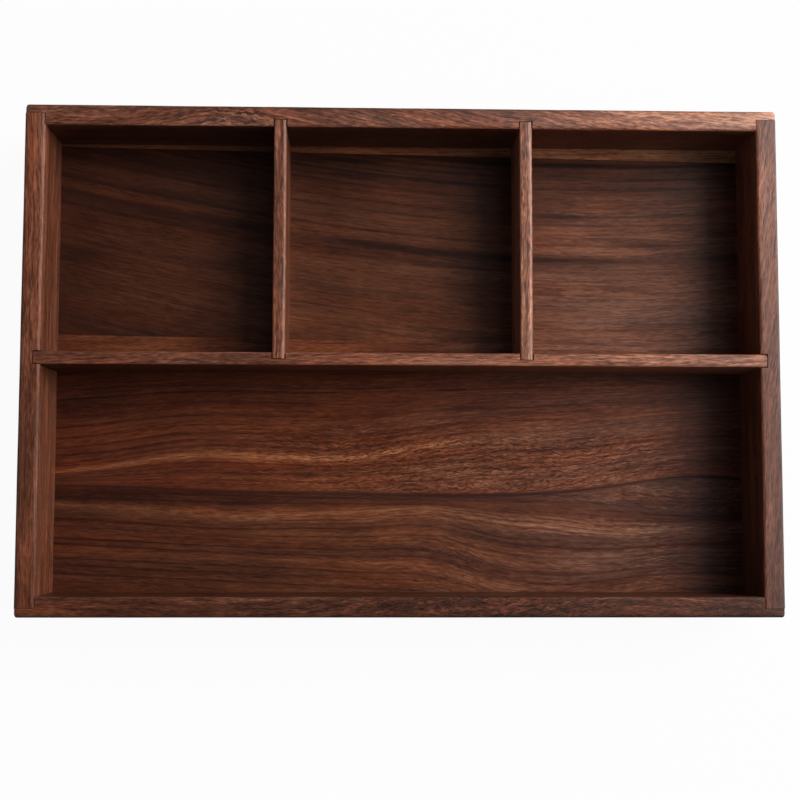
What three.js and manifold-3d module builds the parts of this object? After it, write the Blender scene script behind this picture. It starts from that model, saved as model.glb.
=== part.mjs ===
// Desk organizer tray in solid walnut: four rabbeted walls, a floor glued up from boards,
// and three slotted dividers that lift out. All sizes are in millimetres.
// X runs along the tray, Y from front to back, and Z up from the desk.
import * as THREE from 'three';
import { mergeVertices } from 'three/addons/utils/BufferGeometryUtils.js';
import Module from 'manifold-3d';

// Outer size of the tray.
const LENGTH = 300;
const DEPTH = 202;
const HEIGHT = 40;

// Walls. At a corner the long wall is rabbeted, and its lip covers the end of the side wall.
const WALL = 8;
const LIP = 3.4;
const WALL_EASE = 1.2;

// Floor panel, held in a groove that runs round the inside of the walls.
const FLOOR_THICKNESS = 5;
const FLOOR_RISE = 5;
const GROOVE_DEPTH = 3;
const GROOVE_PLAY = 0.2;
const FLOOR_EDGE_GAP = 0.5;

// Boards of the panel. Its two glued seams run a little out of line with the walls: their places are
// taken halfway along, and each seam drifts towards the front from left to right.
const BACK_STRIP_WIDTH = 5.7;
const MIDDLE_SEAM_FROM_CENTRE = 10.5;
const SEAM_DRIFT = 4.5;

// Cells and the dividers between them. The front cell takes the depth that is left.
const BACK_CELL_DEPTH = 90.5;
const MIDDLE_CELL_WIDTH = 93;
const DIVIDER = 5;
const DIVIDER_EASE = 0.8;

// Slots that hold the ends of the dividers, open at the rim.
const WALL_SLOT_DEPTH = 3;
const DIVIDER_SLOT_DEPTH = 2.8;
const SLOT_SIDE_PLAY = 0.25;
const SLOT_END_PLAY = 0.3;

// Finish: oiled walnut, with the lighter sapwood edge of the strip at the back.
const WALL_COLOUR = 0x7c4f3e;
const DIVIDER_COLOUR = 0x855744;
const FLOOR_COLOUR = 0x573525;
const STRIP_COLOUR = 0x7a5639;
const OILED_ROUGHNESS = 0.5;

// Steps in the quarter round of an eased edge, and how far a cutter runs past the stock.
const EASE_STEPS = 2;
const OVERCUT = 1;

const innerLength = LENGTH - 2 * WALL;
const innerDepth = DEPTH - 2 * WALL;
const floorTop = FLOOR_RISE + FLOOR_THICKNESS;
const slotWidth = DIVIDER + 2 * SLOT_SIDE_PLAY;
const crossCentre = (MIDDLE_CELL_WIDTH + DIVIDER) / 2;
const longDividerY = innerDepth / 2 - BACK_CELL_DEPTH - DIVIDER / 2;

const wasm = await Module();
wasm.setup();

// A closed three.js geometry as a solid that can be cut.
function solidOf(geometry) {
  const bare = geometry.clone();
  bare.deleteAttribute('normal');
  bare.deleteAttribute('uv');
  const merged = mergeVertices(bare);
  return new wasm.Manifold(new wasm.Mesh({
    numProp: 3,
    vertProperties: merged.attributes.position.array,
    triVerts: new Uint32Array(merged.index.array),
  }));
}

// The stock with every cutter taken out of it.
function cut(stock, cutters) {
  const rest = cutters.reduce((left, cutter) => left.subtract(solidOf(cutter)), solidOf(stock));
  const mesh = rest.getMesh();
  const geometry = new THREE.BufferGeometry();
  geometry.setAttribute('position', new THREE.Float32BufferAttribute(mesh.vertProperties, 3));
  geometry.setIndex(new THREE.Uint32BufferAttribute(mesh.triVerts, 1));
  geometry.computeVertexNormals();
  return geometry;
}

// A block between two opposite corners.
function block(low, high) {
  const size = high.map((value, axis) => value - low[axis]);
  const middle = high.map((value, axis) => (value + low[axis]) / 2);
  return new THREE.BoxGeometry(...size).translate(...middle);
}

// A bar along X, centred on X and Y and standing on Z = 0, with both upper edges rounded.
function easedBar(length, thickness, height, ease) {
  const half = thickness / 2;
  const section = new THREE.Shape();
  section.moveTo(-half, 0);
  section.lineTo(half, 0);
  section.absarc(half - ease, height - ease, ease, 0, Math.PI / 2, false);
  section.absarc(ease - half, height - ease, ease, Math.PI / 2, Math.PI, false);
  section.closePath();
  const bar = new THREE.ExtrudeGeometry(section, {
    depth: length,
    bevelEnabled: false,
    curveSegments: EASE_STEPS,
  });
  bar.translate(0, 0, -length / 2);
  const alongX = new THREE.Matrix4().makeBasis(
    new THREE.Vector3(0, 1, 0),
    new THREE.Vector3(0, 0, 1),
    new THREE.Vector3(1, 0, 0),
  );
  return bar.applyMatrix4(alongX);
}

// A wall along X with its inner face towards -Y: floor groove, and a divider slot at each centre.
function wall(length, slotCentres, rabbets) {
  const inner = -WALL / 2;
  const past = length / 2 + OVERCUT;
  const groove = block(
    [-past, inner - OVERCUT, FLOOR_RISE],
    [past, inner + GROOVE_DEPTH, floorTop + GROOVE_PLAY],
  );
  const slots = slotCentres.map((centre) => block(
    [centre - slotWidth / 2, inner - OVERCUT, floorTop],
    [centre + slotWidth / 2, inner + WALL_SLOT_DEPTH, HEIGHT + OVERCUT],
  ));
  return cut(easedBar(length, WALL, HEIGHT, WALL_EASE), [groove, ...slots, ...rabbets]);
}

// Rabbets at both ends of a long wall, where the side walls seat.
function cornerRabbets() {
  const shoulder = LENGTH / 2 - WALL;
  const past = LENGTH / 2 + OVERCUT;
  const inner = -WALL / 2 - OVERCUT;
  const lip = WALL / 2 - LIP;
  return [
    block([-past, inner, -OVERCUT], [-shoulder, lip, HEIGHT + OVERCUT]),
    block([shoulder, inner, -OVERCUT], [past, lip, HEIGHT + OVERCUT]),
  ];
}

// The long divider along X, slotted in its back face for the two cross dividers.
function longDivider() {
  const length = innerLength + 2 * (WALL_SLOT_DEPTH - SLOT_END_PLAY);
  const height = HEIGHT - floorTop;
  const back = DIVIDER / 2;
  const slots = [-crossCentre, crossCentre].map((centre) => block(
    [centre - slotWidth / 2, back - DIVIDER_SLOT_DEPTH, -OVERCUT],
    [centre + slotWidth / 2, back + OVERCUT, height + OVERCUT],
  ));
  return cut(easedBar(length, DIVIDER, height, DIVIDER_EASE), slots);
}

// Y of the two ends of a cross divider: in the long divider's slot and in the back wall's slot.
const crossFront = longDividerY + DIVIDER / 2 - DIVIDER_SLOT_DEPTH + SLOT_END_PLAY;
const crossBack = innerDepth / 2 + WALL_SLOT_DEPTH - SLOT_END_PLAY;

function crossDivider() {
  return easedBar(crossBack - crossFront, DIVIDER, HEIGHT - floorTop, DIVIDER_EASE);
}

// Panel outline in the grooves, and the Y of the back seam halfway along.
const panelHalfLength = innerLength / 2 + GROOVE_DEPTH - FLOOR_EDGE_GAP;
const panelHalfDepth = innerDepth / 2 + GROOVE_DEPTH - FLOOR_EDGE_GAP;
const backSeam = panelHalfDepth - BACK_STRIP_WIDTH;

// One board of the floor between two edges, each given by its Y halfway along and its drift.
function floorBoard(front, frontDrift, back, backDrift) {
  const plan = new THREE.Shape();
  plan.moveTo(-panelHalfLength, front + frontDrift / 2);
  plan.lineTo(panelHalfLength, front - frontDrift / 2);
  plan.lineTo(panelHalfLength, back - backDrift / 2);
  plan.lineTo(-panelHalfLength, back + backDrift / 2);
  plan.closePath();
  return new THREE.ExtrudeGeometry(plan, { depth: FLOOR_THICKNESS, bevelEnabled: false });
}

const tray = new THREE.Group();

// One piece of the tray, standing at a place and turned about Z.
function place(name, geometry, colour, x, y, z, turn) {
  const finish = new THREE.MeshStandardMaterial({
    color: colour,
    roughness: OILED_ROUGHNESS,
    metalness: 0,
  });
  const mesh = new THREE.Mesh(geometry, finish);
  mesh.name = name;
  mesh.position.set(x, y, z);
  mesh.rotation.z = turn;
  tray.add(mesh);
}

const longWallY = (DEPTH - WALL) / 2;
const sideWallX = (LENGTH - WALL) / 2;
const sideWallLength = DEPTH - 2 * LIP;
const crossY = (crossFront + crossBack) / 2;
const quarterTurn = Math.PI / 2;

place('front_wall', wall(LENGTH, [], cornerRabbets()), WALL_COLOUR, 0, -longWallY, 0, Math.PI);
place('back_wall', wall(LENGTH, [-crossCentre, crossCentre], cornerRabbets()), WALL_COLOUR, 0, longWallY, 0, 0);
place('left_wall', wall(sideWallLength, [longDividerY], []), WALL_COLOUR, -sideWallX, 0, 0, quarterTurn);
place('right_wall', wall(sideWallLength, [-longDividerY], []), WALL_COLOUR, sideWallX, 0, 0, -quarterTurn);

const frontBoard = floorBoard(-panelHalfDepth, 0, MIDDLE_SEAM_FROM_CENTRE, SEAM_DRIFT);
const backBoard = floorBoard(MIDDLE_SEAM_FROM_CENTRE, SEAM_DRIFT, backSeam, SEAM_DRIFT);
const backStrip = floorBoard(backSeam, SEAM_DRIFT, panelHalfDepth, 0);
place('floor_front_board', frontBoard, FLOOR_COLOUR, 0, 0, FLOOR_RISE, 0);
place('floor_back_board', backBoard, FLOOR_COLOUR, 0, 0, FLOOR_RISE, 0);
place('floor_back_strip', backStrip, STRIP_COLOUR, 0, 0, FLOOR_RISE, 0);

place('long_divider', longDivider(), DIVIDER_COLOUR, 0, longDividerY, floorTop, 0);
place('left_cross_divider', crossDivider(), DIVIDER_COLOUR, -crossCentre, crossY, floorTop, quarterTurn);
place('right_cross_divider', crossDivider(), DIVIDER_COLOUR, crossCentre, crossY, floorTop, quarterTurn);

export default tray;
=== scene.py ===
import math

import bmesh
import bpy
import numpy as np
from mathutils import Matrix, Vector


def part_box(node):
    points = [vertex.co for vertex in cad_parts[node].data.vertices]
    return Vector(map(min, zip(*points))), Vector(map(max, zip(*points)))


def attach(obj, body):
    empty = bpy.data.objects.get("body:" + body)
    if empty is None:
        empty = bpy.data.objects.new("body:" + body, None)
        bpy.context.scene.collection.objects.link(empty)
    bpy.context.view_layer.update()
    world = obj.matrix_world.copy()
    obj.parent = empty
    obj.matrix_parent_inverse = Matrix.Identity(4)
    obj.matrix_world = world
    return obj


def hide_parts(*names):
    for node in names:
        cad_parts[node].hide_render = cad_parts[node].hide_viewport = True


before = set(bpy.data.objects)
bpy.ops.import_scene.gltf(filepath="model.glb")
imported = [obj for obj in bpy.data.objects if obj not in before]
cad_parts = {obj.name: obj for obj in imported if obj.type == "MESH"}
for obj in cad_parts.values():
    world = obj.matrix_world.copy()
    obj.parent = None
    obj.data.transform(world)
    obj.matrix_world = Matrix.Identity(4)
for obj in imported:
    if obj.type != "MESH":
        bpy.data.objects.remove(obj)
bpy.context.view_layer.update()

# The two long walls are walnut boards that run the full length of the tray. Each end is rabbeted to a
# thin lip that covers the end of a side wall, a groove near the foot takes the floor, and the back wall
# has two open slots for the cross dividers. The upper arrises are eased with sandpaper, then all is oiled.
mm = 0.001
front_low, front_high = (np.array(corner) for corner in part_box("front_wall"))
left_low, left_high = (np.array(corner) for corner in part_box("left_wall"))
floor_low, floor_high = (np.array(corner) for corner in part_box("floor_front_board"))
cross_low, cross_high = (np.array(corner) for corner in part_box("right_cross_divider"))
half_length = front_high[0]
half_depth = -front_low[1]
rim = front_high[2]
wall = front_high[1] - front_low[1]
lip = left_low[1] - front_low[1]
inner_half_length = half_length - wall
inner_half_depth = half_depth - wall
groove_depth = 3.0 * mm
groove_play = 0.2 * mm
groove_foot = floor_low[2]
groove_top = floor_high[2] + groove_play
cross_centre = (cross_low[0] + cross_high[0]) / 2
slot_play = 0.5 * mm
slot_width = cross_high[0] - cross_low[0] + slot_play
wall_arris = np.array([1.0, 0.7]) * mm
wall_outer_arris = np.array([0.8, 0.7]) * mm
foot_arris = np.array([0.5, 0.5]) * mm
outer_wave_shift = 31 * mm
corner_ease = 1.3 * mm
station_step = 2.0 * mm
inner_face_columns = 36
outer_face_columns = 48
arris_columns = 9
merge_distance = 0.001 * mm
sharp_angle = math.radians(35)


def run(start, end, count):
    """Points spaced evenly from start towards end, with the end left out, at every station."""
    share = (np.arange(count) / count)[None, :, None]
    start = np.atleast_2d(start)[:, None, :]
    end = np.atleast_2d(end)[:, None, :]
    return start + (end - start) * share


def quarter(centre, radii, start_turn, count):
    """A quarter ellipse round the centre, clockwise from start_turn, with its last point left out."""
    turn = start_turn - np.pi / 2 * np.arange(count) / count
    circle = np.stack([np.cos(turn), np.sin(turn)], axis=-1)
    return np.atleast_2d(centre)[:, None, :] + np.atleast_2d(radii)[:, None, :] * circle


def point(across, up):
    """A point of a section, one for each station where either of the two varies along the piece."""
    return np.stack(np.broadcast_arrays(across, up), axis=-1)


def chain(stations, *parts):
    """Parts of a section end to end, at every station."""
    return np.concatenate([np.broadcast_to(part, (stations, *part.shape[1:])) for part in parts], axis=1)


def sanded(along, radii):
    """Radii across and down of an arris eased by hand: the wanted radii with two slow waves along the
    piece."""
    waves = 0.10 * np.sin(along / (11 * mm)) + 0.07 * np.sin(along / (4.7 * mm) + 1.3)
    return (1 + waves)[:, None] * radii


def wall_section(along, inside, inner_arris=wall_arris):
    """Section of a wall, clockwise from the foot: up the inner side, over the rim and down the outer side.

    across is 0 on the inner face, and inside is plain, slot or lip: a slot cuts the inner side back to
    the depth of the groove, and the lip keeps only what lies outside the end of the side wall.
    """
    stations = len(along)
    arris = sanded(along, inner_arris)
    outer_arris = sanded(along + outer_wave_shift, wall_outer_arris)
    wide, deep = arris.T
    outer_wide, outer_deep = outer_arris.T
    foot_ease = foot_arris[0]
    back = wall - lip
    foot = [
        run((back, 0), (foot_ease, 0), 2),
        quarter((foot_ease, foot_ease), foot_arris, -np.pi / 2, 3),
        run((0, foot_ease), (0, groove_foot), 2),
        run((0, groove_foot), (groove_depth, groove_foot), 1),
        run((groove_depth, groove_foot), (groove_depth, groove_top), 2),
    ]
    if inside == "lip":
        inner = [run((back, 0), (back, rim), 12)]
    elif inside == "slot":
        inner = foot + [
            run((groove_depth, groove_top), (groove_depth, rim), 12),
            run((groove_depth, rim), (back, rim), 1),
        ]
    else:
        inner = foot + [
            run((groove_depth, groove_top), (0, groove_top), 1),
            run((0, groove_top), point(0, rim - deep), inner_face_columns),
            quarter(point(wide, rim - deep), arris, np.pi, arris_columns),
            run(point(wide, rim), (groove_depth, rim), 2),
            run((groove_depth, rim), (back, rim), 1),
        ]
    outer = [
        run((back, rim), point(wall - outer_wide, rim), 2),
        quarter(point(wall - outer_wide, rim - outer_deep), outer_arris, np.pi / 2, arris_columns),
        run(point(wall, rim - outer_deep), (wall, foot_ease), outer_face_columns),
        quarter((wall - foot_ease, foot_ease), foot_arris, 0, 3),
        run((wall - foot_ease, 0), (back, 0), 2),
    ]
    return along, chain(stations, *inner), chain(stations, *outer)


def stations_between(start, end):
    """Stations from start to end, no further apart than the station step."""
    return np.linspace(start, end, max(2, math.ceil(abs(end - start) / station_step) + 1))


def rounded_end(span, ease):
    """A span whose far end is rounded: near it the section shrinks towards its inner foot on a quarter
    circle."""
    along, inner, outer = span
    toward = np.sign(along[-1] - along[0])
    turn = np.linspace(0, np.pi / 2, 6)
    stations = np.concatenate([along[:1], along[-1] + toward * ease * (np.sin(turn) - 1)])
    inset = np.concatenate([[0], ease * (1 - np.cos(turn))])[:, None]
    start = inner[:1, :1]
    back = start[..., 0]

    def shrunk(loop):
        """The first section at every station, drawn in by the inset from the outer face and the rim."""
        first = loop[:1]
        across = back + (first[..., 0] - back) * (1 - inset / (wall - back))
        return np.stack([across, first[..., 1] * (1 - inset / rim)], axis=-1)

    return stations, shrunk(inner), shrunk(outer)


def step_outline(first, second):
    """Outline of the flat step where one section changes to another: out along the first inner side and
    back along the second, without the stretches that both share at either end."""
    shorter = min(len(first), len(second))
    same_head = np.isclose(first[:shorter], second[:shorter]).all(axis=1)
    same_tail = np.isclose(first[::-1][:shorter], second[::-1][:shorter]).all(axis=1)
    head = np.argmin(same_head) - 1
    tail = np.argmin(same_tail) - 1
    out = first[head:len(first) - tail]
    home = second[head + 1:len(second) - tail - 1]
    return np.concatenate([out, home[::-1]])


def skin(spans, place):
    """Vertices and faces of a section carried along a piece, span by span: each point is joined to the same
    point at the next station, a step closes each change of section, and the two end sections are caps."""
    points, faces, count = [], [], 0

    def add_flat(station, outline):
        """One flat face across the piece at a station."""
        nonlocal count
        points.append(place(np.full(len(outline), station), outline[:, 0], outline[:, 1]))
        faces.append(list(range(count, count + len(outline))))
        count += len(outline)

    for along, inner, outer in spans:
        loop = np.concatenate([inner, outer], axis=1)
        rows, columns = loop.shape[:2]
        index = count + np.arange(rows * columns).reshape(rows, columns)
        ahead = np.roll(index, -1, axis=1)
        quads = np.stack([index[:-1], ahead[:-1], ahead[1:], index[1:]], axis=-1).reshape(-1, 4)
        faces.extend(quads.tolist())
        points.append(place(np.repeat(along, columns), loop[..., 0].ravel(), loop[..., 1].ravel()))
        count += rows * columns
    for (along, inner, outer), (_, next_inner, next_outer) in zip(spans[:-1], spans[1:]):
        here = np.concatenate([inner[-1], outer[-1, :1]])
        there = np.concatenate([next_inner[0], next_outer[0, :1]])
        add_flat(along[-1], step_outline(here, there))
    for along, inner, outer, end in ((*spans[0], 0), (*spans[-1], -1)):
        add_flat(along[end], np.concatenate([inner[end], outer[end]]))
    return np.concatenate(points), faces


def make_piece(name, node, body, skin_parts, figure, finish):
    """A finished piece in place of its CAD node: the skin is merged and turned outwards, and the figure of
    the wood, with its painted light and shade, is kept on its points as grain, shade and curl. grain is the
    place along the grain, across the rings and round the trunk, in millimetres."""
    mesh = bpy.data.meshes.new(name)
    mesh.from_pydata(skin_parts[0], [], skin_parts[1])
    shell = bmesh.new()
    shell.from_mesh(mesh)
    bmesh.ops.remove_doubles(shell, verts=shell.verts, dist=merge_distance)
    bmesh.ops.recalc_face_normals(shell, faces=shell.faces)
    shell.to_mesh(mesh)
    shell.free()
    places = np.empty(len(mesh.vertices) * 3)
    mesh.vertices.foreach_get("co", places)
    grain, shade, curl = figure(places.reshape(-1, 3) / mm)
    mesh.attributes.new("grain", "FLOAT_VECTOR", "POINT").data.foreach_set("vector", grain.ravel())
    mesh.attributes.new("shade", "FLOAT", "POINT").data.foreach_set("value", shade)
    mesh.attributes.new("curl", "FLOAT", "POINT").data.foreach_set("value", np.broadcast_to(curl, len(shade)))
    mesh.shade_smooth()
    mesh.set_sharp_from_angle(angle=sharp_angle)
    mesh.materials.append(finish)
    piece = bpy.data.objects.new(name, mesh)
    bpy.context.scene.collection.objects.link(piece)
    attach(piece, body)
    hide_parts(node)


def swells(along, slope, bumps):
    """A slow line along the grain: a steady slope plus rounded swells, each a centre, a width and a rise."""
    line = slope * along
    for centre, width, rise in bumps:
        line = line + rise * np.exp(-((along - centre) / width) ** 2)
    return line


def sawn_grain(along, across, up, pith, slope, bumps):
    """Grain of a straight board: the ring is the distance from the pith of the trunk, which lies beside the
    board at (across, up), plus a slow line along the board, and the third value is the way round the pith,
    drawn out down the faces so that their figure runs in long narrow lines."""
    ring = np.hypot(across - pith[0], up - pith[1]) + swells(along, slope, bumps)
    round_pith = 40 * np.arctan2(up - pith[1], across - pith[0]) + 1.8 * (up - rim / mm)
    return np.stack([along, ring, round_pith], axis=-1)


def on_rim(up):
    """How far a point belongs to the rim: 1 on top, fading to a tenth a few millimetres down a face."""
    return np.clip((up - rim / mm + 3) / 2, 0.1, 1)


def inner_face(across, up):
    """How far a point belongs to the inner face of a wall: 0 on the rim, rising to 1 three millimetres
    down."""
    return np.clip((rim / mm - 1 - up) / 2, 0, 1) * (across < wall / mm / 2)


def course_at(place, course):
    """The value of a course at a place, run straight between its points."""
    return np.interp(place, *np.transpose(course))


def thin_lines(ring, lines):
    """Thin growth lines: each has its ring, half a width and a change of shade, and fades to its sides like
    a bell."""
    shade = np.zeros_like(ring)
    for middle, width, rise in lines:
        shade = shade + rise * np.exp(-((ring - middle) / width) ** 2)
    return shade


face_growth_lines = (
    (-3, 1.3, -0.07), (1.5, 1.0, 0.05), (5, 1.1, -0.07), (9.5, 1.0, -0.05), (13, 2.0, 0.06),
    (18, 1.1, -0.08), (20.5, 0.9, -0.05), (24, 1.6, 0.06), (28, 1.0, -0.07), (32, 1.3, -0.05),
    (36, 1.5, 0.05), (41, 1.2, -0.06),
)


def face_lines(along, up, shift):
    """Long growth lines along the faces of a board: they lie at set heights, bend together in slow waves that
    a shift along the board makes its own, and fade out just under the rim."""
    place = along + shift
    bend = 2.2 * np.sin(place / 53) + 0.9 * np.sin(place / 23 + up / 9)
    return thin_lines(up + bend, face_growth_lines) * np.clip((rim / mm - up - 1) / 3, 0, 1)


def streaks(along, across, marks):
    """Single streaks in the figure: each has a middle, half a length, half a width, a slope and a rise in
    shade, and fades from its middle line like a bell."""
    shade = np.zeros_like(along)
    for place, beside, length, width, slope, rise in marks:
        aside = (across - beside - slope * (along - place)) / width
        shade = shade + rise * np.exp(-((along - place) / length) ** 2 - aside ** 2)
    return shade


def painted_rim_arris_light(across, up):
    """How far the rim's arrises differ in shade: a painted highlight pales the inner arris, and painted shade
    darkens the outer arris."""
    inner = np.hypot(across, rim / mm - up)
    outer = np.hypot(wall / mm - across, rim / mm - up)
    # Painted light: a paler inner arris for its highlight, and a darker outer arris for its shade.
    return 0.05 * np.exp(-inner ** 2) - 0.25 * np.exp(-(outer / 0.7) ** 2)


def tone(red, green, blue):
    """A colour written as it looks on screen, as the shader takes it."""
    share = np.array([red, green, blue]) / 255
    linear = np.where(share <= 0.04045, share / 12.92, ((share + 0.055) / 1.055) ** 2.4)
    return (*linear.tolist(), 1.0)


def wire(tree, kind, sockets, **settings):
    """One node: its settings by name, and its sockets by name or number, set to a value or to another
    node's output. Its own outputs are given back."""
    node = tree.nodes.new(kind)
    for setting, value in settings.items():
        setattr(node, setting, value)
    for socket, value in sockets.items():
        if isinstance(value, bpy.types.NodeSocket):
            tree.links.new(value, node.inputs[socket])
        else:
            node.inputs[socket].default_value = value
    return node.outputs


# The courses pale towards the right and the back: partly the wood's tone, partly painted light falling off
# from the lamp.
darkest_red = 16
palest_red = 168


def paleness_and_painted_light(along, course):
    """How pale a piece is along it, from its wood's tone and from painted light: a course of places and of
    the red shown there, as a share of the way from the darkest walnut to the palest."""
    return (course_at(along, course) - darkest_red) / (palest_red - darkest_red)


def oiled_walnut(name, grain_axis, gloss, matt, fleck, line, tint=(1.0, 1.0, 1.0), turn_tint=None, tan=0.0,
                 grey_and_sheen=None):
    """Oiled walnut read from the piece's grain, shade and curl: soft bands and thin growth lines that follow
    the rings, flecks, short dark pores and slow mottling, with the roughness and the bump of open pores.

    fleck and line each give a length and a width in millimetres and a share of the tone, gloss is how much
    the oil shines, and matt is the roughness of the bare wood between the pores. turn_tint is a second tint,
    reached from one turn round the trunk to another. tan is how much yellower the paler wood is.
    grey_and_sheen is a grey tint, partly greyer wood and partly painted sheen, that comes in from one place
    along the grain to another and fades between two rings.
    """
    finish = bpy.data.materials.new(name)
    finish.use_nodes = True
    tree = finish.node_tree
    tree.nodes.clear()
    grain = wire(tree, "ShaderNodeAttribute", {}, attribute_name="grain")["Vector"]
    shade = wire(tree, "ShaderNodeAttribute", {}, attribute_name="shade")["Fac"]
    curl = wire(tree, "ShaderNodeAttribute", {}, attribute_name="curl")["Fac"]
    along, ring, turn = wire(tree, "ShaderNodeSeparateXYZ", {0: grain})
    fleck_length, fleck_width, fleck_share = fleck
    line_length, line_width, line_share = line

    def stretched(source, along_mm, ring_mm, turn_mm):
        """Grain places counted in patches of this size, in millimetres."""
        sizes = (1 / along_mm, 1 / ring_mm, 1 / turn_mm)
        return wire(tree, "ShaderNodeVectorMath", {0: source, 1: sizes}, operation="MULTIPLY")[0]

    def noise(source, sizes, detail):
        """Soft patches of about these sizes along the grain, across the rings and round the trunk."""
        spread = stretched(source, *sizes)
        return wire(tree, "ShaderNodeTexNoise", {"Vector": spread, "Scale": 1.0, "Detail": detail})[0]

    def math_of(kind, *values):
        """One step of arithmetic."""
        return wire(tree, "ShaderNodeMath", dict(enumerate(values)), operation=kind)[0]

    def remap(value, low, high, new_low, new_high):
        """A value between low and high, eased to run between two new ends."""
        sockets = {0: value, 1: low, 2: high, 3: new_low, 4: new_high}
        return wire(tree, "ShaderNodeMapRange", sockets, interpolation_type="SMOOTHSTEP")[0]

    def multiplied(colour, factor):
        """A colour times a factor or another colour."""
        return wire(tree, "ShaderNodeMix", {0: 1.0, 6: colour, 7: factor}, data_type="RGBA",
                    blend_type="MULTIPLY")[2]

    def blended(first, second, share):
        """A mix of two set colours."""
        sockets = {0: share, 6: (*first, 1.0), 7: (*second, 1.0)}
        return wire(tree, "ShaderNodeMix", sockets, data_type="RGBA")[2]

    # The rings wander slowly, and ripple where the wood is curly. Bands, lines and late wood follow them.
    wobble = noise(grain, (46, 11, 11), 2)
    ripple = math_of("MULTIPLY", math_of("SUBTRACT", noise(grain, (2.8, 4.0, 4.0), 1), 0.5), curl)
    wavy_ring = math_of("MULTIPLY_ADD", ripple, 1.9, math_of("MULTIPLY_ADD", wobble, 3.0, ring))
    wavy = wire(tree, "ShaderNodeCombineXYZ", {0: along, 1: wavy_ring, 2: turn})[0]
    bands = noise(wavy, (130, 6.0, 14), 2)
    lines = noise(wavy, (line_length, line_width, 3.0 * line_width), 3)
    flecks = noise(wavy, (fleck_length, fleck_width, fleck_width), 2)
    mottle = noise(grain, (22, 9, 9), 3)
    year = math_of("FRACT", math_of("MULTIPLY_ADD", bands, 5.0, math_of("MULTIPLY", wavy_ring, 0.29)))
    late_wood = math_of("MULTIPLY", remap(year, 0.45, 0.93, 0.0, 1.0), remap(year, 0.93, 1.0, 1.0, 0.0))
    late_wood = math_of("MULTIPLY", late_wood, remap(noise(wavy, (70, 5, 9), 2), 0.38, 0.62, 0.1, 1.0))

    # The tone: the shade of the place, varied more where the wood is paler, on a ramp of walnut colours.
    contrast = math_of("MULTIPLY_ADD", shade, 1.75, 0.05)
    fine = math_of("MULTIPLY", math_of("SUBTRACT", lines, 0.5), line_share)
    fleck_gain = math_of("MULTIPLY_ADD", curl, 0.35, fleck_share)
    fine = math_of("MULTIPLY_ADD", math_of("SUBTRACT", flecks, 0.48), fleck_gain, fine)
    fine = math_of("MULTIPLY_ADD", math_of("SUBTRACT", bands, 0.5), 0.36, fine)
    fine = math_of("MULTIPLY_ADD", late_wood, -0.10, fine)
    level = math_of("MULTIPLY_ADD", fine, contrast, shade)
    ramp = tree.nodes.new("ShaderNodeValToRGB")
    ramp.color_ramp.elements[0].color = tone(16, 7, 5)
    ramp.color_ramp.elements[1].color = tone(206, 142, 106)
    ramp.color_ramp.elements.new(0.20).color = tone(53, 28, 19)
    ramp.color_ramp.elements.new(0.40).color = tone(91, 50, 33.5)
    ramp.color_ramp.elements.new(0.60).color = tone(130, 76, 54)
    ramp.color_ramp.elements.new(0.80).color = tone(168, 106, 79)
    tree.links.new(math_of("MULTIPLY", level, 0.8), ramp.inputs[0])

    # Open pores: dashes and dots in crowds, short dashes in curly wood, and rows along the rings.
    dashes = noise(wavy, (1.4 * fleck_length, 0.8 * fleck_width, 0.8 * fleck_width), 1)
    dashes = remap(dashes, 0.56, 0.70, 0.0, 1.0)
    cell_places = stretched(wavy, 2.2 * fleck_length, 1.5 * fleck_width, 1.5 * fleck_width)
    cells = wire(tree, "ShaderNodeTexVoronoi", {"Vector": cell_places, "Scale": 1.0})
    dots = remap(cells["Distance"], 0.10, 0.32, 1.0, 0.0)
    crowd = remap(noise(wavy, (40, 2.4, 5), 2), 0.38, 0.58, 0.25, 1.0)
    pores = math_of("MULTIPLY", math_of("MAXIMUM", dots, dashes), crowd)
    short_dashes = remap(noise(wavy, (2.4, 0.5, 0.5), 1), 0.52, 0.62, 0.0, 1.0)
    pores = math_of("MAXIMUM", pores, math_of("MULTIPLY", short_dashes, curl))
    row = math_of("FRACT", math_of("MULTIPLY_ADD", wavy_ring, 0.53, math_of("MULTIPLY", bands, 2.5)))
    row = remap(math_of("ABSOLUTE", math_of("SUBTRACT", row, 0.5)), 0.06, 0.20, 1.0, 0.0)
    row = math_of("MULTIPLY", row, remap(noise(wavy, (9, 1.6, 3), 1), 0.46, 0.60, 0.0, 0.9))
    pores = math_of("MAXIMUM", pores, row)
    pore_depth = math_of("MULTIPLY", pores, math_of("MULTIPLY_ADD", curl, 0.20, 0.30 + 0.35 * fleck_share))
    filled = wire(tree, "ShaderNodeMix", {0: pore_depth, 6: ramp.outputs[0], 7: tone(26, 12, 9)},
                  data_type="RGBA")[2]

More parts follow.
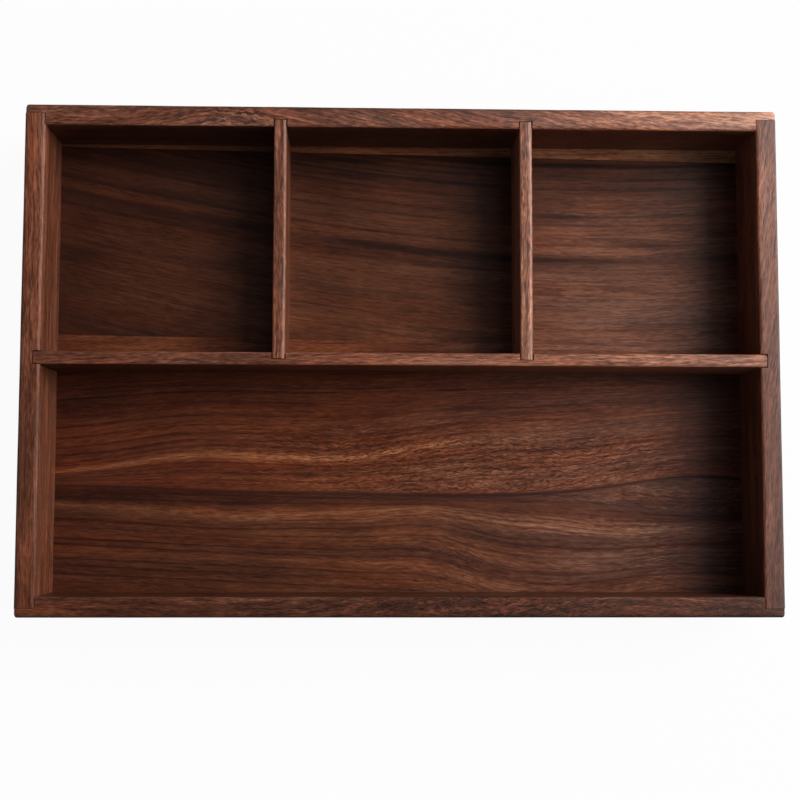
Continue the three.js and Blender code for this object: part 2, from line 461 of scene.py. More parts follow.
    # The colour: warmer and cooler streaks, mottling, darker end grain and the tints of the board.
    warmth = remap(noise(wavy, (75, 6, 20), 2), 0.35, 0.65, 0.0, 1.0)
    cast = blended((0.94, 1.02, 1.07), (1.06, 0.98, 0.88), warmth)
    patches = remap(mottle, 0.3, 0.7, 0.86, 1.14)
    facing = wire(tree, "ShaderNodeTexCoord", {})["Normal"]
    turned = wire(tree, "ShaderNodeVectorMath", {0: facing, 1: grain_axis}, operation="DOT_PRODUCT")["Value"]
    end_grain = remap(math_of("ABSOLUTE", turned), 0.75, 0.97, 1.0, 0.55)
    colour = multiplied(multiplied(filled, cast), patches)
    colour = multiplied(multiplied(colour, end_grain), (*tint, 1.0))
    if tan:
        yellow = math_of("MULTIPLY_ADD", level, tan, 1.0 - 0.42 * tan)
        colour = multiplied(colour, wire(tree, "ShaderNodeCombineColor", {0: 1.0, 1: yellow, 2: yellow})[0])
    if turn_tint:
        second, start_turn, end_turn = turn_tint
        share = remap(turn, start_turn, end_turn, 0.0, 1.0)
        colour = multiplied(colour, blended((1.0, 1.0, 1.0), second, share))
    # A grey tint towards the right: partly greyer wood and partly painted sheen from the lamp on the right.
    if grey_and_sheen:
        grey, start, end, full_ring, faint_ring = grey_and_sheen
        fade = remap(ring, full_ring, faint_ring, 1.0, 0.4)
        share = math_of("MULTIPLY", remap(along, start, end, 0.0, 1.0), fade)
        colour = multiplied(colour, blended((1.0, 1.0, 1.0), grey, share))

    # The surface: pores are rougher than the oiled wood and lie a little below it.
    rough = remap(flecks, 0.3, 0.7, matt - 0.04, matt + 0.04)
    rough = math_of("MULTIPLY_ADD", pores, 0.06, rough)
    height = math_of("MULTIPLY_ADD", pores, -1.0, math_of("MULTIPLY", flecks, 0.5))
    bump = wire(tree, "ShaderNodeBump", {"Height": height, "Strength": 0.3, "Distance": 0.08 * mm})[0]
    shader = wire(tree, "ShaderNodeBsdfPrincipled", {
        "Base Color": colour,
        "Roughness": rough,
        "Normal": bump,
        "Specular IOR Level": gloss,
    })[0]
    wire(tree, "ShaderNodeOutputMaterial", {"Surface": shader})
    return finish


along_length = (1.0, 0.0, 0.0)
along_depth = (0.0, 1.0, 0.0)


def stretches(start, end, slot_centres):
    """Stretches of a piece from start to end, each with its stations and its kind: plain, and slot where a
    divider goes in."""
    cuts = [start]
    for centre in slot_centres:
        cuts += [centre - slot_width / 2, centre + slot_width / 2]
    cuts.append(end)
    kinds = ["plain", "slot"] * len(slot_centres) + ["plain"]
    return [(stations_between(*ends), kind) for *ends, kind in zip(cuts[:-1], cuts[1:], kinds)]


def long_wall_spans(slot_centres):
    """Spans of a long wall from left to right: lip, wall between the slots, and lip."""
    inside = stretches(-inner_half_length, inner_half_length, slot_centres)
    middle = [wall_section(along, kind) for along, kind in inside]
    right = rounded_end(wall_section(stations_between(inner_half_length, half_length), "lip"), corner_ease)
    left = rounded_end(wall_section(stations_between(-inner_half_length, -half_length), "lip"), corner_ease)
    return [tuple(part[::-1] for part in left), *middle, right]


def front_wall_place(along, across, up):
    """Places of the front wall: along to the right, and across to the front from the inner face."""
    return np.stack([along, -inner_half_depth - across, up], axis=-1)


def back_wall_place(along, across, up):
    """Places of the back wall: along to the right, and across to the back from the inner face."""
    return np.stack([along, inner_half_depth + across, up], axis=-1)


front_wall_pith = (-38, 12)
front_wall_slope = 0.02
front_wall_swells = ((-60, 50, -4.0), (90, 40, 5.0))
back_wall_pith = (-42, 14)
back_wall_trunk = (400, 30, 0)
front_wall_course = ((-150, 75), (0, 76), (150, 78))
front_wall_curl = ((-150, 0.1), (-50, 0.3), (0, 0.9), (60, 1.0), (90, 0.6), (120, 0.8), (150, 0.6))
back_wall_course = ((-150, 116), (-40, 110), (20, 110), (60, 136), (150, 137))
back_wall_sweep = ((-150, 0), (-116, 0), (-76, -6), (-56, -5), (0, 5), (40, 14), (90, 21), (150, 27))
back_wall_curl = (
    (-150, 0.3), (-90, 0.2), (-72, 1.0), (-58, 1.0), (-46, 0.1), (50, 0.1), (100, 0.4), (150, 0.2),
)
back_wall_streaks = (
    (104, 4.0, 30, 0.45, -0.095, -0.26), (-30, 5.2, 12, 0.5, -0.22, -0.16), (-12, 4.2, 10, 0.7, -0.25, 0.12),
    (-105, 3.0, 14, 0.5, 0.10, -0.16), (-122, 5.0, 12, 0.5, 0.04, -0.14),
)
front_wall_streaks = (
    (-75, 1.6, 16, 0.7, -0.03, 0.16), (-52, 1.2, 12, 0.5, 0.0, 0.20), (38, 1.5, 7, 0.8, 0.0, 0.22),
    (-28, 2.8, 12, 0.5, 0.10, -0.18), (-62, 4.2, 14, 0.6, 0.05, -0.16), (18, 3.0, 8, 0.6, -0.05, -0.14),
    (-105, 4.0, 14, 0.8, 0.02, 0.12), (5, 1.4, 9, 0.7, 0.0, 0.14),
)
back_inside_painted_shade = ((-150, 0.27), (40, 0.25), (60, 0.28), (150, 0.26))
pale_edge = ((-150, 30), (66, 12), (72, 8), (100, 4.5), (135, 1.5), (150, 1))
pale_reach = ((68, 3.0), (150, 37.44))
pale_rise = 0.26


def front_wall_figure(places):
    """Dark straight grain with two slow swells, which curls to the right."""
    along, _, up = places.T
    across = -inner_half_depth / mm - places[:, 1]
    grain = sawn_grain(along, across, up, front_wall_pith, front_wall_slope, front_wall_swells)
    shade = paleness_and_painted_light(along, front_wall_course) + painted_rim_arris_light(across, up)
    shade = shade + streaks(along, across, front_wall_streaks) + face_lines(along, up, 0)
    return grain, shade, course_at(along, front_wall_curl) * on_rim(up)


def back_wall_figure(places):
    """Grain that climbs, swirls and then falls away to the right, where the outer edge is paler sapwood that
    reaches further and further down the outer face."""
    along, _, up = places.T
    across = places[:, 1] - inner_half_depth / mm
    grain = sawn_grain(along, across, up, back_wall_pith, 0.0, ()) + np.array(back_wall_trunk)
    grain[:, 1] += course_at(along, back_wall_sweep)
    pale = np.clip((across - course_at(along, pale_edge)) / 0.8, 0, 1)
    pale = pale * np.clip((up - rim / mm + course_at(along, pale_reach)) / 3, 0, 1)
    shade = paleness_and_painted_light(along, back_wall_course) + pale_rise * pale
    # Painted shade: the inner face, turned away from the lamp, is darkened.
    shade = shade - course_at(along, back_inside_painted_shade) * inner_face(across, up)
    shade = shade + streaks(along, across, back_wall_streaks) + face_lines(along, up, back_wall_trunk[0])
    return grain, shade + painted_rim_arris_light(across, up), course_at(along, back_wall_curl) * on_rim(up)


rim_fleck = (3.0, 0.5, 0.75)
rim_line = (16, 0.9, 0.80)
rim_matt = 0.31
front_line = (13, 1.7, 0.85)
front_walnut = oiled_walnut("oiled_walnut_front_wall", along_length, gloss=0.2, matt=rim_matt,
                            fleck=rim_fleck, line=front_line)
back_walnut = oiled_walnut("oiled_walnut_back_wall", along_length, gloss=0.45, matt=rim_matt,
                           fleck=rim_fleck, line=rim_line, tint=(1.0, 0.975, 0.95))
make_piece("front_wall_board", "front_wall", "tray",
           skin(long_wall_spans([]), front_wall_place), front_wall_figure, front_walnut)
make_piece("back_wall_board", "back_wall", "tray",
           skin(long_wall_spans([-cross_centre, cross_centre]), back_wall_place),
           back_wall_figure, back_walnut)

# The two side walls are shorter walnut boards whose square ends seat in the rabbets of the long walls,
# where they are glued. They are grooved for the floor, and each has one open slot for the long divider.
long_low, long_high = (np.array(corner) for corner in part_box("long_divider"))
long_centre = (long_low[1] + long_high[1]) / 2
side_half_length = left_high[1]
end_break = 0.15 * mm
left_wall_arris = np.array([2.0, 1.0]) * mm


def broken_end(span, end):
    """A span whose end edges are broken by a touch of sandpaper: the last section is a little smaller.

    end is 0 for the near end and -1 for the far end.
    """
    along, inner, outer = span
    middle = np.array([wall / 2, rim / 2])
    smaller = 1 - 2 * end_break / np.array([wall, rim])
    stations = along.copy()
    stations[end] += end_break if end == 0 else -end_break

    def with_tip(rows, tip):
        """Rows with one more, the tip, at the broken end."""
        return np.concatenate([tip[None], rows] if end == 0 else [rows, tip[None]])

    def shrunk(loop):
        """The loop and a tip: its end section, made smaller about the middle of the wall."""
        return with_tip(loop, middle + (loop[end] - middle) * smaller)

    return with_tip(stations, along[end]), shrunk(inner), shrunk(outer)


def side_wall_spans(inner_arris):
    """Spans of a side wall from front to back: wall, slot for the long divider, wall."""
    whole = stretches(-side_half_length, side_half_length, [long_centre])
    front, slot, back = (wall_section(along, kind, inner_arris) for along, kind in whole)
    return [broken_end(front, 0), slot, broken_end(back, -1)]


def left_wall_place(along, across, up):
    """Places of the left wall: along to the back, and across to the left from the inner face."""
    return np.stack([-inner_half_length - across, along, up], axis=-1)


def right_wall_place(along, across, up):
    """Places of the right wall: along to the back, and across to the right from the inner face."""
    return np.stack([inner_half_length + across, along, up], axis=-1)


left_wall_pith = (-50, 26)
left_wall_slope = -0.015
left_wall_swells = ((40, 60, 2.5),)
left_wall_trunk = (900, 70, 0)
left_wall_curl = 0.15
right_wall_pith = (-36, 10)
right_wall_slope = -0.12
right_wall_swells = ((-30, 55, 3.0),)
right_wall_trunk = (1300, 110, 0)
right_wall_curl = 0.25
left_wall_course = ((-100, 93), (-20, 98), (20, 110), (100, 113))
left_inside_course = ((-100, 0.15), (-10, 0.13), (5, 0.03), (100, 0.0))
right_wall_course = ((-100, 94), (0, 106), (60, 136), (100, 138))
right_inside_painted_shade = ((0, 0.0), (20, 0.12))


def left_wall_figure(places):
    """Straight grain with one slow swell, paler to the back, and paler on the inner face to the front."""
    _, along, up = places.T
    across = -inner_half_length / mm - places[:, 0]
    grain = sawn_grain(along, across, up, left_wall_pith, left_wall_slope, left_wall_swells)
    shade = paleness_and_painted_light(along, left_wall_course) + face_lines(along, up, left_wall_trunk[0])
    shade = shade + course_at(along, left_inside_course) * inner_face(across, up)
    return grain + np.array(left_wall_trunk), shade + painted_rim_arris_light(across, up), left_wall_curl * on_rim(up)


def right_wall_figure(places):
    """Grain that slopes across the rim, paler to the back, where painted shade darkens the inner face."""
    _, along, up = places.T
    across = places[:, 0] - inner_half_length / mm
    grain = sawn_grain(along, across, up, right_wall_pith, right_wall_slope, right_wall_swells)
    shade = paleness_and_painted_light(along, right_wall_course) + face_lines(along, up, right_wall_trunk[0])
    # Painted shade darkens the inner face towards the back.
    shade = shade - course_at(along, right_inside_painted_shade) * inner_face(across, up)
    return grain + np.array(right_wall_trunk), shade + painted_rim_arris_light(across, up), right_wall_curl * on_rim(up)


side_fleck = (4.0, 0.5, 0.62)
side_line = (22, 0.9, 0.50)
left_walnut = oiled_walnut("oiled_walnut_left_wall", along_depth, gloss=0.14, matt=rim_matt,
                           fleck=side_fleck, line=side_line)
right_walnut = oiled_walnut("oiled_walnut_right_wall", along_depth, gloss=0.35, matt=rim_matt,
                            fleck=side_fleck, line=side_line)
make_piece("left_wall_board", "left_wall", "tray",
           skin(side_wall_spans(left_wall_arris), left_wall_place), left_wall_figure, left_walnut)
make_piece("right_wall_board", "right_wall", "tray",
           skin(side_wall_spans(wall_arris), right_wall_place), right_wall_figure, right_walnut)

# The floor is a thin panel of two wide walnut boards and a narrow pale strip, edge-glued on seams that
# run a little out of line with the walls. It lies loose in the grooves, flat and sanded smooth.
panel_half_length = floor_high[0]
seam_drift = 4.5 * mm
strip_low, strip_high = (np.array(corner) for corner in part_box("floor_back_strip"))
board_foot = floor_low[2]
board_top = floor_high[2]
middle_seam = floor_high[1] - seam_drift / 2
back_seam = strip_low[1] + seam_drift / 2
board_stations = 97
top_step = 0.3 * mm
under_step = 1.5 * mm


def board_spans(front, front_drift, back, back_drift):
    """One span of a floor board along the tray: its section is a flat slab between two edges, each given by
    its place halfway along and by how far it drifts to the front from left to right."""
    along = np.linspace(-panel_half_length, panel_half_length, board_stations)
    share = along / (2 * panel_half_length)
    front_edge = front - front_drift * share
    back_edge = back - back_drift * share
    top_columns = math.ceil((back - front) / top_step)
    under_columns = math.ceil((back - front) / under_step)
    top = run(point(front_edge, board_top), point(back_edge, board_top), top_columns)
    back_side = run(point(back_edge, board_top), point(back_edge, board_foot), 2)
    under = run(point(back_edge, board_foot), point(front_edge, board_foot), under_columns)
    front_side = run(point(front_edge, board_foot), point(front_edge, board_top), 2)
    return [(along, chain(len(along), top, back_side), chain(len(along), under, front_side))]


def floor_place(along, across, up):
    """Places of a floor board: along to the right and across to the back."""
    return np.stack([along, across, up], axis=-1)


def ring_between(along, across, growth_lines):
    """Ring of a wide board: each growth line has its ring, its place halfway along, its slope and its swells,
    and between two lines the ring runs evenly from one to the other."""
    rings = [line[0] for line in growth_lines]
    courses = [line[1] + swells(along, line[2], line[3]) for line in growth_lines]
    ring = np.full_like(along, rings[0])
    for k in range(len(rings) - 1):
        share = (across - courses[k]) / (courses[k + 1] - courses[k])
        low = -np.inf if k == 0 else 0
        high = np.inf if k == len(rings) - 2 else 1
        ring = ring + np.clip(share, low, high) * (rings[k + 1] - rings[k])
    return ring


front_growth_lines = (
    (-104, -104.0, -0.050, ((75, 45, -9.0),)),
    (-84, -84.0, -0.045, ((60, 36, -9.0), (8, 16, 1.5))),
    (-62, -62.0, -0.030, ((-75, 32, -2.4), (9, 19, 3.4), (45, 15, -1.2), (85, 34, -4.0))),
    (-56, -55.9, -0.020, ((120, 45, -3.5),)),
    (-52, -52.3, 0.0, ((-140, 55, 2.8), (125, 40, 6.8), (25, 45, -1.0))),
    (-36, -34.2, 0.070, ((-86, 32, 4.2), (-24, 17, -1.6), (30, 25, 2.6), (120, 50, 3.0))),
    (-8, -8.0, 0.030, ((-86, 45, 2.5),)),
    (12, 11.0, 0.0, ()),
)
front_bands = (
    (-104, -0.06), (-96, 0.02), (-88, -0.04), (-82, 0.06), (-78, -0.03), (-73, 0.05), (-68, -0.06),
    (-64, 0.20), (-61.5, 0.30), (-60, 0.05), (-58.5, -0.16), (-56.5, -0.24), (-53, -0.28), (-52.2, -0.30),
    (-51, 0.14), (-42, 0.12), (-34.4, 0.10), (-28, 0.10), (-20, 0.02), (-8, -0.02), (5, 0.08), (9, 0.26),
    (12, 0.30),
)
band_share = 0.55
ring_slant = 0.4
turn_stretch = 3
front_fan = ((-104, 0), (142, 14))
front_wedge = ((45, 0.0), (85, 1.0))
front_wedge_edge = ((1.2, 0.0), (2.7, 1.0))
front_wedge_rise = 0.17
front_wedge_curl = 0.6
front_sharp_line = (0, 0.6, -0.22)
front_sharp_fade = ((-40, 0.2), (40, 1.0))
front_pale_line = (-36.9, 1.6, 0.25)
front_pale_fade = ((-20, 1.0), (25, 0.35), (70, 0.05))
front_curl = ((-90, 0.0), (-20, 1.0), (90, 1.0), (150, 0.0))
front_curl_start = ((0, 0.0), (1.5, 1.0))
front_curl_end = ((-32, 1.0), (-18, 0.0))
further_round = ((-2.5, 60), (2.5, 25.2))
further_round_edge = ((-0.4, 0.0), (0.4, 1.0))
front_thin_lines = (
    (-92, 0.5, -0.14), (-88.5, 0.35, -0.10), (-85.5, 0.4, -0.12), (-79.5, 0.45, -0.15), (-76.6, 0.4, -0.14),
    (-71.5, 0.4, -0.10), (-68, 0.45, -0.15), (-66, 0.35, -0.10), (-57.6, 0.4, -0.10), (-54.8, 0.4, -0.10),
    (-47.6, 0.35, -0.10), (-44.6, 0.4, -0.12), (-42.2, 0.35, -0.07), (-40.3, 0.4, -0.14), (-33.2, 0.4, -0.12),
    (-30.6, 0.4, -0.08), (-27.8, 0.4, -0.12), (-24.5, 0.4, -0.07), (-20.5, 0.45, -0.10), (-15, 0.4, -0.07),
    (-10.5, 0.4, -0.10),
)
back_bands = (
    (-20, 0.0), (-5, -0.02), (-1, 0.0), (8, 0.08), (14, 0.14), (28, 0.10), (37, 0.14), (41, 0.10),
    (45, -0.02), (48, -0.08), (49, -0.15), (50.5, -0.15), (51.4, 0.02), (53, 0.12), (60, 0.06), (70, 0.0),
    (78, -0.06), (84, -0.10), (88, -0.16), (90, -0.30), (92, -0.28), (95, -0.22), (110, -0.30),
)
back_dark_line = (49.7, 1.5, -0.13)
back_dark_fade = ((-140, 0.2), (-60, 0.4), (-35, 0.6), (-5, 1.0))
back_thin_lines = (
    (-3, 0.9, -0.03), (20.5, 0.4, -0.05), (26, 0.35, -0.03), (30, 0.45, -0.07), (35, 0.4, -0.03),
    (44.5, 0.5, -0.05), (56, 0.6, -0.12), (59, 0.4, -0.04), (64.5, 0.5, -0.09),
    (68.5, 0.55, -0.10), (72, 0.4, -0.05), (75, 0.5, -0.10), (77.6, 0.4, -0.06), (80, 0.55, -0.12),
    (82.2, 0.35, -0.06), (84.3, 0.55, -0.12), (87, 0.4, -0.07), (89.8, 0.6, -0.12),
)
back_board_streaks = (
    (104, 52, 12, 1.5, 0.0, -0.24), (-134, 47, 9, 4.0, 0.0, -0.13), (-66, 45, 10, 3.0, 0.0, -0.08),
    (70, 63.5, 14, 1.0, -0.03, -0.18), (118, 75, 16, 0.8, 0.0, -0.06), (-8, 57, 14, 0.6, -0.10, -0.12),
    (-22, 81, 18, 0.7, -0.09, -0.10), (22, 78, 18, 0.7, -0.07, -0.12), (4, 29, 9, 0.6, -0.04, -0.12),
    (-38, 54.6, 13, 1.6, -0.14, 0.17), (-134, 60, 10, 5.0, 0.0, -0.05), (-28, 63.5, 8, 2.0, -0.1, -0.07),
    (0, 15, 16, 5.0, 0.0, 0.06), (-36, 15, 12, 4.0, 0.0, -0.05), (110, 14, 18, 5.0, 0.0, -0.06),
    (75, 86.0, 28, 0.9, -0.010, -0.22), (64, 81.5, 14, 1.0, 0.0, -0.16), (100, 80.5, 20, 0.7, 0.0, -0.10),
    (118, 45.6, 24, 1.1, 0.0, 0.08), (64, 45.2, 12, 0.8, 0.0, -0.10), (-25, 87.3, 20, 0.9, -0.03, -0.14),
    (-130, 73, 14, 1.4, -0.20, 0.07), (-95, 71.5, 26, 0.8, -0.195, -0.08), (-120, 16, 18, 4.0, -0.15, 0.05),
)
front_board_streaks = (
    (-75, 9, 14, 5.0, -0.016, -0.13), (-36, 9, 12, 4.0, -0.016, -0.06), (2, 9, 24, 5.0, -0.016, -0.13),
    (36, 9, 14, 4.0, 0.0, -0.08), (75, 8.5, 30, 5.0, -0.016, -0.06), (52, -65.3, 30, 2.2, -0.075, 0.06),
    (100, -38, 24, 6.0, 0.08, 0.06), (20, -40, 60, 12.0, 0.0, 0.055), (100, -75, 12, 9.0, 0.0, 0.06),
    (-132, -51.5, 18, 3.0, 0.0, 0.07),
)
front_board_curls = (
    (22, -77, 14, 7.0, -0.3, 0.7), (16, -89, 18, 5.0, 0.0, 0.7), (108, -76, 15, 14.0, 0.0, 0.7),
)
# Tone and painted light: darker near 128 mm to widen the right wall's shadow, paler again in its deepest
# shade.
front_board_tone_and_painted_light = ((-145, 65), (-100, 75), (-40, 87), (0, 92), (85, 99), (106, 96), (128, 70), (145, 94))
# Tone and painted light: paler in the cross dividers' shadows, darker near the right wall to widen its
# shadow.
back_board_tone_and_painted_light = (
    (-145, 50), (-100, 59), (-74, 62), (-52, 92), (-44, 75), (-28, 71), (0, 79), (24, 79), (48, 88),
    (90, 100), (108, 98), (145, 86),
)
strip_course = ((-145, 100), (0, 123), (60, 157), (145, 161))


def front_board_figure(places):
    """Flat-sawn board: wavy growth lines, with a sharp line from which the lines above it fan out. The wood
    above it is curly and comes from further round the trunk, less so behind the long divider. To the right a
    paler wedge opens under the line."""
    along, across, up = places.T
    ring = ring_between(along, across, front_growth_lines)
    under, sharp, above = (line[1] + swells(along, line[2], line[3]) for line in front_growth_lines[3:6])
    over_sharp = across - sharp
    rise = over_sharp / (above - sharp)
    fan = np.where((rise > 0) & (rise < 1), course_at(along, front_fan) * (1 - rise), 0)
    in_wedge = (across > under) & (across < sharp)
    wedge = course_at(along, front_wedge) * course_at(across - under, front_wedge_edge) * in_wedge
    shade = paleness_and_painted_light(along, front_board_tone_and_painted_light) + band_share * course_at(ring, front_bands)
    shade = shade + thin_lines(ring, front_thin_lines) + streaks(along, across, front_board_streaks)
    shade = shade + thin_lines(ring, (front_pale_line,)) * course_at(along, front_pale_fade)
    shade = shade + thin_lines(over_sharp, (front_sharp_line,)) * course_at(along, front_sharp_fade)
    shade = shade + front_wedge_rise * wedge
    curl = course_at(over_sharp, front_curl_start) * course_at(across, front_curl_end)
    curl = curl * course_at(along, front_curl) + front_wedge_curl * wedge
    curl = np.clip(curl + streaks(along, across, front_board_curls), 0, 1)
    depth = board_top / mm - up
    wedge_ring = across - under + front_growth_lines[3][0]
    grain_ring = np.where(in_wedge, wedge_ring, ring - fan) + ring_slant * depth
    turn = turn_stretch * up + course_at(across, further_round) * course_at(over_sharp, further_round_edge)
    return np.stack([along, grain_ring, turn], axis=-1), shade, curl


back_ring_slope = 0.11
back_ring_bend_left = 0.00044
back_ring_bend_right = 0.00065
back_board_start = 500


def back_board_figure(places):
    """Board whose growth lines slope to the front on the left and level out to the right."""
    along, across, up = places.T
    bend = np.where(along < 0, back_ring_bend_left, back_ring_bend_right)
    ring = across + back_ring_slope * along - bend * along ** 2
    shade = paleness_and_painted_light(along, back_board_tone_and_painted_light) + band_share * course_at(ring, back_bands)
    shade = shade + thin_lines(ring, back_thin_lines) + streaks(along, across, back_board_streaks)
    shade = shade + thin_lines(ring, (back_dark_line,)) * course_at(along, back_dark_fade)
    grain_ring = ring + ring_slant * (board_top / mm - up)
    return np.stack([along + back_board_start, grain_ring, turn_stretch * up], axis=-1), shade, 0.0


strip_start = 900
strip_slope = 0.02


def strip_figure(places):
    """Straight-grained sapwood strip."""
    along, across, up = places.T
    grain = np.stack([along + strip_start, across - strip_slope * along, turn_stretch * up], axis=-1)
    return grain, paleness_and_painted_light(along, strip_course), 0.0


front_fleck = (3.6, 0.48, 0.46)
front_board_line = (24, 1.0, 0.30)
back_fleck = (3.6, 0.48, 0.40)
back_line = (26, 1.0, 0.26)
strip_line = (60, 1.4, 0.25)
floor_matt = 0.36
front_board_walnut = oiled_walnut("oiled_walnut_floor_front", along_length, gloss=0.10, matt=floor_matt,
                                  fleck=front_fleck, line=front_board_line, tint=(1.0, 0.935, 0.81),
                                  turn_tint=((1.0, 0.81, 0.72), 40, 70), tan=0.8,
                                  grey_and_sheen=((1.0, 1.13, 1.47), -20, 80, 100, 200))
back_board_walnut = oiled_walnut("oiled_walnut_floor_back", along_length, gloss=0.10, matt=floor_matt,
                                 fleck=back_fleck, line=back_line, tint=(1.0, 0.98, 0.86), tan=0.42,
                                 grey_and_sheen=((1.0, 1.22, 1.68), 535, 575, 40, 82))
strip_sapwood = oiled_walnut("oiled_sapwood_strip", along_length, gloss=0.13, matt=floor_matt,
                             fleck=back_fleck, line=strip_line, tint=(1.0, 1.02, 0.88))
make_piece("floor_front_plank", "floor_front_board", "tray",
           skin(board_spans(floor_low[1], 0, middle_seam, seam_drift), floor_place),
           front_board_figure, front_board_walnut)
make_piece("floor_back_plank", "floor_back_board", "tray",
           skin(board_spans(middle_seam, seam_drift, back_seam, seam_drift), floor_place),
           back_board_figure, back_board_walnut)
make_piece("floor_pale_strip", "floor_back_strip", "tray",
           skin(board_spans(back_seam, seam_drift, strip_high[1], 0), floor_place),
           strip_figure, strip_sapwood)

# The long divider is a thin walnut slat that stands on the floor and slips into open slots in both side
# walls. Its back face is slotted for the two cross dividers, and its upper arrises are eased.
slat = long_high[1] - long_low[1]
slat_arris = np.array([1.5, 0.8]) * mm
slat_front_arris = np.array([0.8, 0.6]) * mm
front_wave_shift = 23 * mm
slat_face_columns = 36
divider_slot_depth = 2.8 * mm
slat_foot = long_low[2]


def slat_section(along, inside):
    """Section of a slat, clockwise from the foot: up its back face, over the top and down its front face.

    across is 0 on the back face, and inside is plain or slot, which cuts the back face away.
    """
    stations = len(along)
    arris = sanded(along, slat_arris)
    front_arris = sanded(along + front_wave_shift, slat_front_arris)
    wide, deep = arris.T
    front_wide, front_deep = front_arris.T
    cut = divider_slot_depth
    if inside == "slot":
        back = [run((cut, slat_foot), (cut, rim), 12)]
    else:
        back = [
            run((cut, slat_foot), (0, slat_foot), 1),
            run((0, slat_foot), point(0, rim - deep), slat_face_columns),
            quarter(point(wide, rim - deep), arris, np.pi, arris_columns),
            run(point(wide, rim), (cut, rim), 2),
        ]
    front = [
        run((cut, rim), point(slat - front_wide, rim), 2),
        quarter(point(slat - front_wide, rim - front_deep), front_arris, np.pi / 2, arris_columns),
        run(point(slat, rim - front_deep), (slat, slat_foot), slat_face_columns),
        run((slat, slat_foot), (cut, slat_foot), 1),
    ]
    return along, chain(stations, *back), chain(stations, *front)


def long_divider_spans():
    """Spans of the long divider from left to right, plain between its two slots."""
    whole = stretches(long_low[0], long_high[0], [-cross_centre, cross_centre])
    return [slat_section(along, kind) for along, kind in whole]


def long_divider_place(along, across, up):
    """Places of the long divider: along to the right, and across to the front from the back face."""
    return np.stack([along, long_high[1] - across, up], axis=-1)


long_divider_pith = (-30, 18)
long_divider_slope = 0.025
long_divider_swells = ((-20, 70, 3.0),)
long_divider_trunk = (1700, 150, 0)
long_divider_curl = 0.2
long_divider_course = ((-145, 87), (-95, 90), (0, 112), (90, 146), (145, 152))


def painted_slat_arris_highlight(across, up):
    """How far a painted highlight pales the two upper arrises of a slat: most on the edge, fading over a
    millimetre."""
    nearest = np.minimum(across, slat / mm - across)
    # Painted highlight along the upper arrises.
    return 0.05 * np.exp(-nearest ** 2 - (rim / mm - up) ** 2)


def long_divider_figure(places):
    """Straight grain with one slow swell, much paler to the right."""
    along, _, up = places.T
    across = long_high[1] / mm - places[:, 1]
    grain = sawn_grain(along, across, up, long_divider_pith, long_divider_slope, long_divider_swells)
    shade = paleness_and_painted_light(along, long_divider_course) + face_lines(along, up, long_divider_trunk[0])
    curl = long_divider_curl * on_rim(up)
    return grain + np.array(long_divider_trunk), shade + painted_slat_arris_highlight(across, up), curl


slat_fleck = (4.0, 0.5, 0.85)
slat_line = (22, 0.9, 0.45)
long_walnut = oiled_walnut("oiled_walnut_long_divider", along_length, gloss=0.30, matt=rim_matt,
                           fleck=slat_fleck, line=slat_line)
make_piece("long_divider_slat", "long_divider", "long_divider",
           skin(long_divider_spans(), long_divider_place), long_divider_figure, long_walnut)

# The two cross dividers are short walnut slats that slip into open slots in the back wall and in the long
# divider, and part the back of the tray into three cells.
cross_pith = (-26, 20)
cross_swells = ((40, 30, 2.0),)
cross_curl = 0.3


def make_cross_divider(side, centre, slope, trunk, red, gloss):
    """A plain slat from front to back, whose grain slopes to one side and has its own place in the trunk."""
    right_face = centre + slat / 2

    def cross_place(along, across, up):
        """Places of the slat: along to the back, and across to the left from its right face."""
        return np.stack([right_face - across, along, up], axis=-1)

    def cross_figure(places):
        """Straight grain with one short swell, of one tone all along."""
        _, along, up = places.T
        across = right_face / mm - places[:, 0]
        grain = sawn_grain(along, across, up, cross_pith, slope, cross_swells) + np.array(trunk)
        shade = paleness_and_painted_light(along, ((0, red),)) + face_lines(along, up, trunk[0])
        return grain, shade + painted_slat_arris_highlight(across, up), cross_curl * on_rim(up)

    span = slat_section(stations_between(cross_low[1], cross_high[1]), "plain")
    finish = oiled_walnut(f"oiled_walnut_{side}_cross", along_depth, gloss=gloss, matt=rim_matt,
                          fleck=slat_fleck, line=slat_line)
    make_piece(f"{side}_cross_slat", f"{side}_cross_divider", f"{side}_cross_divider",
               skin([span], cross_place), cross_figure, finish)


make_cross_divider("left", -cross_centre, slope=-0.03, trunk=(2100, 40, 0), red=110, gloss=0.26)
make_cross_divider("right", cross_centre, slope=0.03, trunk=(2500, 40, 0), red=150, gloss=0.38)

# The studio: a white floor that sweeps up all round like a cove, a soft lamp with a wider halo high on the
# right and a little behind, and a dim even room. The floor looks white and still takes a faint shadow.
cove_turns = 96
cove_bends = 16
cove_middle = (0.6, 1.2)
cove_flat = 1.8
cove_radius = 4.5
cove_height = 1.5
floor_drop = 0.05 * mm
white_glow = 0.95


def cove_mesh():
    """A dish: rings of points go from the middle outwards, flat at first and then up a quarter ellipse."""
    turn = np.linspace(0, 2 * np.pi, cove_turns, endpoint=False)
    bend = np.linspace(0, np.pi / 2, cove_bends)
    radius = np.concatenate([cove_middle, cove_flat + (cove_radius - cove_flat) * np.sin(bend)])
    height = np.concatenate([[0, 0], cove_height * (1 - np.cos(bend))]) - floor_drop
    rings = np.stack([
        radius[:, None] * np.cos(turn),
        radius[:, None] * np.sin(turn),
        np.broadcast_to(height[:, None], (len(radius), len(turn))),
    ], axis=-1).reshape(-1, 3)
    index = np.arange(len(rings)).reshape(len(radius), len(turn))
    ahead = np.roll(index, -1, axis=1)
    quads = np.stack([index[:-1], index[1:], ahead[1:], ahead[:-1]], axis=-1).reshape(-1, 4)
    return rings, [index[0].tolist(), *quads.tolist()]


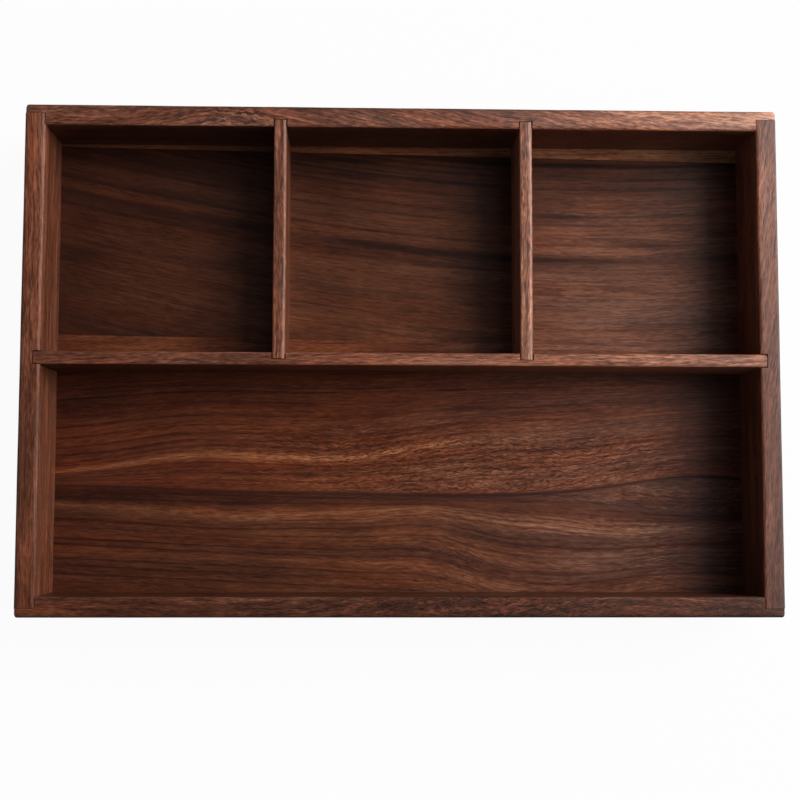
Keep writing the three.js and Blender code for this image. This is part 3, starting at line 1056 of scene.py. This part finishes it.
cove = bpy.data.meshes.new("studio_floor")
cove_points, cove_faces = cove_mesh()
cove.from_pydata(cove_points, [], cove_faces)
cove.shade_smooth()
white = bpy.data.materials.new("studio_white")
white.use_nodes = True
white_tree = white.node_tree
white_tree.nodes.clear()
rays = wire(white_tree, "ShaderNodeLightPath", {})
seen = wire(white_tree, "ShaderNodeMath", {0: rays["Is Camera Ray"], 1: rays["Is Glossy Ray"]},
            operation="MAXIMUM")[0]
seen = wire(white_tree, "ShaderNodeMath", {0: seen, 1: rays["Is Transmission Ray"]}, operation="MAXIMUM")[0]
glow_share = wire(white_tree, "ShaderNodeMath", {0: seen, 1: white_glow}, operation="MULTIPLY")[0]
matt_white = wire(white_tree, "ShaderNodeBsdfDiffuse", {"Color": (0.7, 0.7, 0.7, 1.0)})[0]
glow = wire(white_tree, "ShaderNodeEmission", {"Color": (1.0, 1.0, 1.0, 1.0), "Strength": 1.0})[0]
mixed = wire(white_tree, "ShaderNodeMixShader", {0: glow_share, 1: matt_white, 2: glow})[0]
wire(white_tree, "ShaderNodeOutputMaterial", {"Surface": mixed})
cove.materials.append(white)
studio_floor = bpy.data.objects.new("studio_floor", cove)
bpy.context.scene.collection.objects.link(studio_floor)

lamp_azimuth = math.radians(23)
lamp_distance = 4.0
for lamp_name, elevation, width, power in (("soft_lamp", 43, 3.15, 165.0), ("lamp_halo", 47, 5.4, 75.0)):
    lift = math.radians(elevation)
    outward = math.cos(lift)
    lamp_aim = Vector((outward * math.cos(lamp_azimuth), outward * math.sin(lamp_azimuth), math.sin(lift)))
    lamp = bpy.data.lights.new(lamp_name, "AREA")
    lamp.shape = "DISK"
    lamp.size = width
    lamp.energy = power
    lamp_object = bpy.data.objects.new(lamp_name, lamp)
    lamp_object.location = lamp_aim * lamp_distance
    lamp_object.rotation_euler = lamp_aim.to_track_quat("Z", "Y").to_euler()
    bpy.context.scene.collection.objects.link(lamp_object)

room = bpy.data.worlds.new("dim_room")
room.use_nodes = True
room.node_tree.nodes["Background"].inputs["Color"].default_value = (0.82, 1.0, 1.25, 1.0)
room.node_tree.nodes["Background"].inputs["Strength"].default_value = 0.125
bpy.context.scene.world = room

# The camera hangs a little over half a metre above the front half of the tray, slightly to the left of its
# middle, and looks almost straight down.
camera_place = Vector((-0.01596, -0.05704, 0.56083))
look = Vector((0.02831, 0.07809, -0.99654)).normalized()
camera_up = Vector((-0.00425, 0.99694, 0.07800))
camera_lens = 59.84
camera_right = look.cross(camera_up).normalized()
camera_up = camera_right.cross(look)
camera = bpy.data.cameras.new("overhead_camera")
camera.lens = camera_lens
camera.sensor_width = 36.0
camera.clip_start = 0.01
camera.clip_end = 20.0
camera_object = bpy.data.objects.new("overhead_camera", camera)
camera_turn = Matrix((camera_right, camera_up, -look)).transposed()
camera_object.matrix_world = Matrix.Translation(camera_place) @ camera_turn.to_4x4()
bpy.context.scene.collection.objects.link(camera_object)
bpy.context.scene.camera = camera_object
bpy.context.scene.view_settings.view_transform = "Standard"
